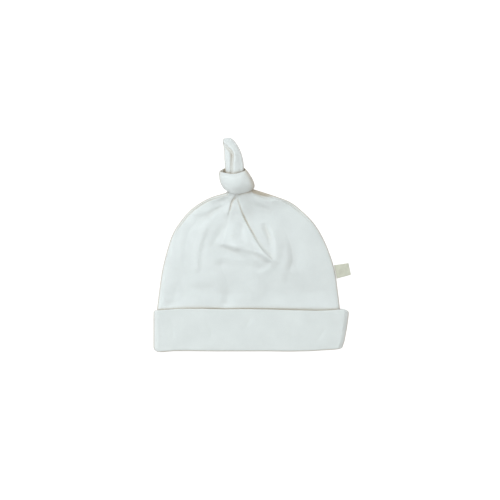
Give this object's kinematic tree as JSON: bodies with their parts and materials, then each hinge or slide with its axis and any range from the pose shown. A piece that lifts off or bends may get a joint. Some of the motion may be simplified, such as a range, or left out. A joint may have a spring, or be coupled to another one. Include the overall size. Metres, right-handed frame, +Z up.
{
  "type": "knotted nightcap",
  "caption": "Baby's soft jersey nightcap lying flat: a rounded crown with a turned-up cuff, its top drawn into an overhand knot with a short tail, and a small folded side label.",
  "frame": {"origin": "on the table, under the middle of the cap's bounding box", "axes": "+X to the cap's right side as seen, where the label is, +Y from the mouth to the tail, +Z up from the table through the cap's front"},
  "size_m": [0.167, 0.1812, 0.0264],
  "materials": {
    "crown_jersey": "soft matte cotton jersey",
    "cuff_jersey": "soft matte cotton jersey, turned up",
    "label_tape": "matte woven tape"
  },
  "bodies": {
    "root": {"crown": "crown_jersey", "cuff": "cuff_jersey", "knot": "crown_jersey", "tail": "crown_jersey", "label": "label_tape"}
  },
  "joints": []
}
